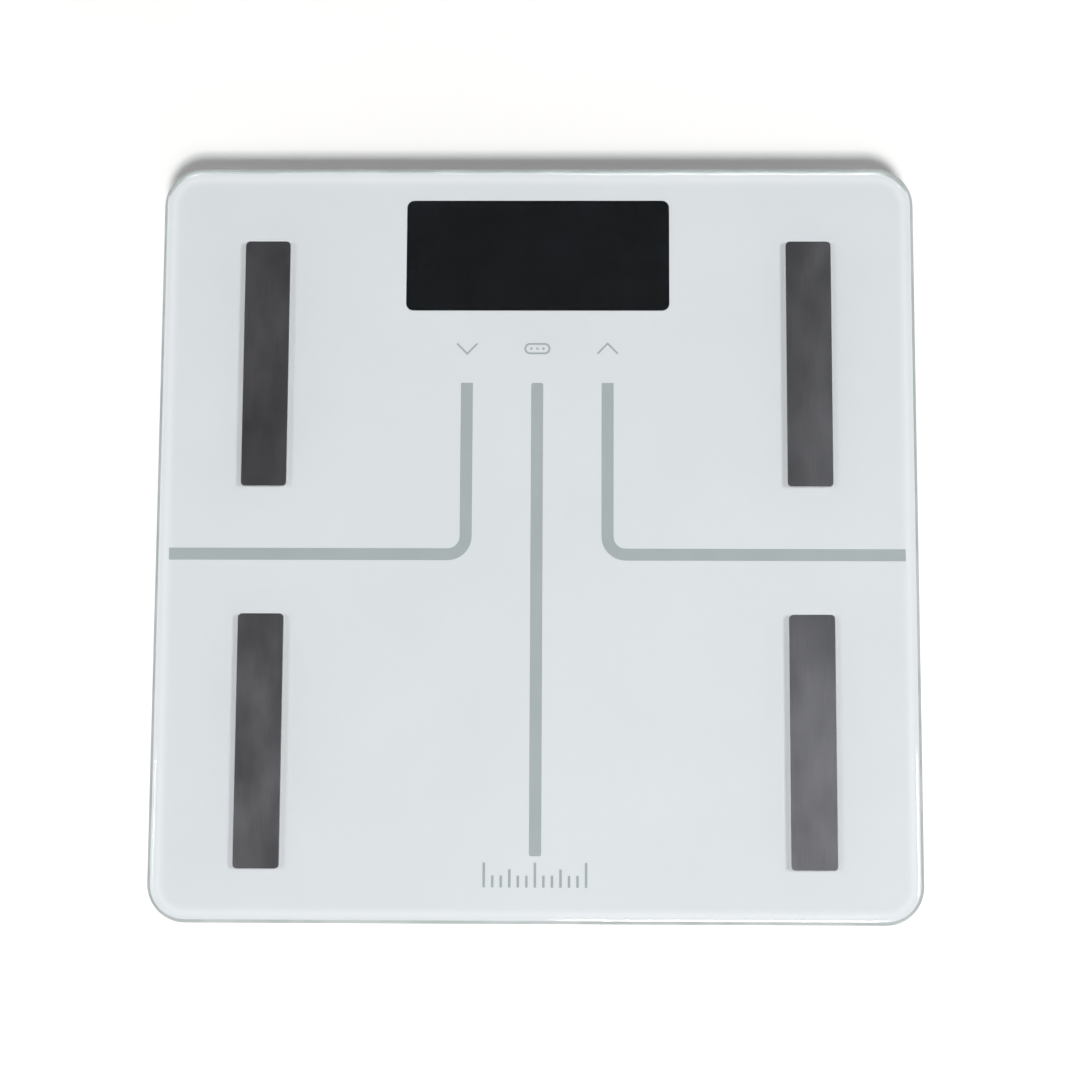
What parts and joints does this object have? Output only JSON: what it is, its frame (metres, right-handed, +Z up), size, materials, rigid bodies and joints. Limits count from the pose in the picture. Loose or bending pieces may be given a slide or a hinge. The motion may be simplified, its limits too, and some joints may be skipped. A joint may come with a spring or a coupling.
{
  "type": "digital bathroom scale",
  "caption": "Square clear-glass bathroom scale with steel electrode strips, a dark display window, touch keys and a battery tray with load-cell feet beneath.",
  "frame": {"origin": "on the floor under the middle of the square plate", "axes": "+Z up, +Y towards the display, -Y towards the user, +X to the user's right"},
  "size_m": [0.3, 0.3, 0.0255],
  "materials": {
    "adhesive": "thin clear-grey tape",
    "black_wire": "soft insulation",
    "button_plastic": "fine matte",
    "cap_plastic": "moulded",
    "cell_sleeve": "plain printed sleeve",
    "cell_steel": "nickel plated spring steel",
    "chip_epoxy": "moulded epoxy",
    "circuit_board": "solder mask",
    "clear_glass": "polished tempered glass",
    "conductive_foam": "conductive foam",
    "contact_nickel": "nickel plated steel",
    "dark_window": "near-black tinted film",
    "diffuser_plastic": "milky diffuser",
    "door_plastic": "fine moulded texture",
    "electrode_steel": "dark fine-brushed stainless steel",
    "foam_tape": "closed-cell foam",
    "gauge_seal": "white silicone",
    "grey_print": "mid grey screen print",
    "grey_wire": "soft insulation",
    "holder_plastic": "moulded",
    "key_print": "thin grey screen print",
    "label_film": "satin film",
    "lcd_glass": "dark polariser",
    "pad_rubber": "matte rubber",
    "pale_print": "baked screen print seen through glass",
    "red_wire": "soft insulation",
    "retainer_plastic": "moulded",
    "strip_rubber": "silicone strip",
    "switch_plastic": "moulded",
    "tinned_brass": "tinned",
    "tray_plastic": "fine moulded texture",
    "white_nylon": "natural nylon",
    "white_wire": "soft insulation",
    "zinc_steel": "bright zinc plate"
  },
  "bodies": {
    "platform": {"base_tray": "tray_plastic", "battery_1": "cell_sleeve", "battery_2": "cell_sleeve", "battery_3": "cell_sleeve", "battery_contact_plates": "contact_nickel", "battery_lead_minus": "black_wire", "battery_lead_plus": "red_wire", "battery_springs": "contact_nickel", "board_screws": "zinc_steel", "bond_tape": "foam_tape", "controller_chip": "chip_epoxy", "display_window": "dark_window", "electrode_adhesive_pads": "adhesive", "electrode_front_left": "electrode_steel", "electrode_front_right": "electrode_steel", "electrode_lead_front_left": "grey_wire", "electrode_lead_front_right": "grey_wire", "electrode_lead_rear_left": "grey_wire", "electrode_lead_rear_right": "grey_wire", "electrode_nuts": "zinc_steel", "electrode_rear_left": "electrode_steel", "electrode_rear_right": "electrode_steel", "electrode_terminals": "tinned_brass", "glass_platform": "clear_glass", "lcd_backlight": "diffuser_plastic", "lcd_contact_strip": "strip_rubber", "lcd_holder": "holder_plastic", "lcd_module": "lcd_glass", "lead_connectors": "white_nylon", "load_cell_front_left": "cell_steel", "load_cell_front_right": "cell_steel", "load_cell_lead_front_left": "white_wire", "load_cell_lead_front_right": "white_wire", "load_cell_lead_rear_left": "white_wire", "load_cell_lead_rear_right": "white_wire", "load_cell_rear_left": "cell_steel", "load_cell_rear_right": "cell_steel", "load_cell_retainers": "retainer_plastic", "main_board": "circuit_board", "print_backing": "pale_print", "print_guide_lines": "grey_print", "print_key_marks": "key_print", "print_tick_mark": "key_print", "rating_label": "label_film", "strain_gauges": "gauge_seal", "stud_washers": "white_nylon", "touch_pad_down": "conductive_foam", "touch_pad_menu": "conductive_foam", "touch_pad_up": "conductive_foam", "unit_switch": "switch_plastic"},
    "foot_front_left": {"foot_cap_front_left": "cap_plastic", "foot_pad_front_left": "pad_rubber"},
    "foot_front_right": {"foot_cap_front_right": "cap_plastic", "foot_pad_front_right": "pad_rubber"},
    "foot_rear_left": {"foot_cap_rear_left": "cap_plastic", "foot_pad_rear_left": "pad_rubber"},
    "foot_rear_right": {"foot_cap_rear_right": "cap_plastic", "foot_pad_rear_right": "pad_rubber"},
    "door": {"battery_door": "door_plastic"},
    "button": {"unit_button": "button_plastic"}
  },
  "joints": [
    {"name": "foot_travel_front_left", "type": "slide", "parent": "platform", "child": "foot_front_left", "axis": [0, 0, 1], "range_m": [0, 0.0005], "stiffness_N_per_m": 3000, "springref_m": -0.003},
    {"name": "foot_travel_front_right", "type": "slide", "parent": "platform", "child": "foot_front_right", "axis": [0, 0, 1], "range_m": [0, 0.0005], "stiffness_N_per_m": 3000, "springref_m": -0.003},
    {"name": "foot_travel_rear_left", "type": "slide", "parent": "platform", "child": "foot_rear_left", "axis": [0, 0, 1], "range_m": [0, 0.0005], "stiffness_N_per_m": 3000, "springref_m": -0.003},
    {"name": "foot_travel_rear_right", "type": "slide", "parent": "platform", "child": "foot_rear_right", "axis": [0, 0, 1], "range_m": [0, 0.0005], "stiffness_N_per_m": 3000, "springref_m": -0.003},
    {"name": "battery_door_hinge", "type": "hinge", "parent": "platform", "child": "door", "pos_m": [0, 0.02075, 0.004], "axis": [1, 0, 0], "range_deg": [0, 80]},
    {"name": "unit_button_press", "type": "slide", "parent": "platform", "child": "button", "axis": [0, 0, 1], "range_m": [0, 0.0005], "stiffness_N_per_m": 150, "springref_m": -0.001}
  ]
}
